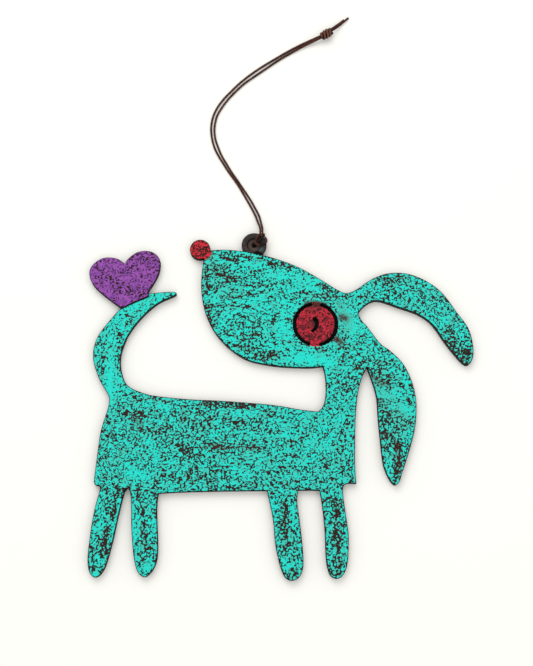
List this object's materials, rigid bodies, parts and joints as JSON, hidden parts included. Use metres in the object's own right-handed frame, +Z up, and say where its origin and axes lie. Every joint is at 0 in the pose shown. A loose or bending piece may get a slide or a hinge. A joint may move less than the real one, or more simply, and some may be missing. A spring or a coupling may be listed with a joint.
{
  "type": "hanging dog ornament",
  "caption": "Flat dog silhouette cut from steel plate, with a heart-tipped tail and long ears, lying on its back, hung from a small dished disc by a hitched and knotted cord.",
  "frame": {"origin": "on the surface that the plate's back lies on, under the middle of the plate and its disc taken together, the cord left out", "axes": "+X from the tail towards the ears, +Y from the feet towards the head, +Z up out of the painted front"},
  "size_m": [0.158, 0.2404, 0.0048],
  "materials": {
    "painted_plate": "dry-brushed turquoise over dark brown steel, with a violet heart, a red nose and a red eye",
    "dark_disc": "dark brown-grey heat-darkened steel with black weld metal at its foot",
    "waxed_cord": "red-brown twisted waxed cord"
  },
  "bodies": {
    "root": {"dog_plate": "painted_plate", "hanger_disc": "dark_disc", "cord_hitch": "waxed_cord", "cord_left": "waxed_cord", "cord_right": "waxed_cord", "cord_knot": "waxed_cord"}
  },
  "joints": []
}
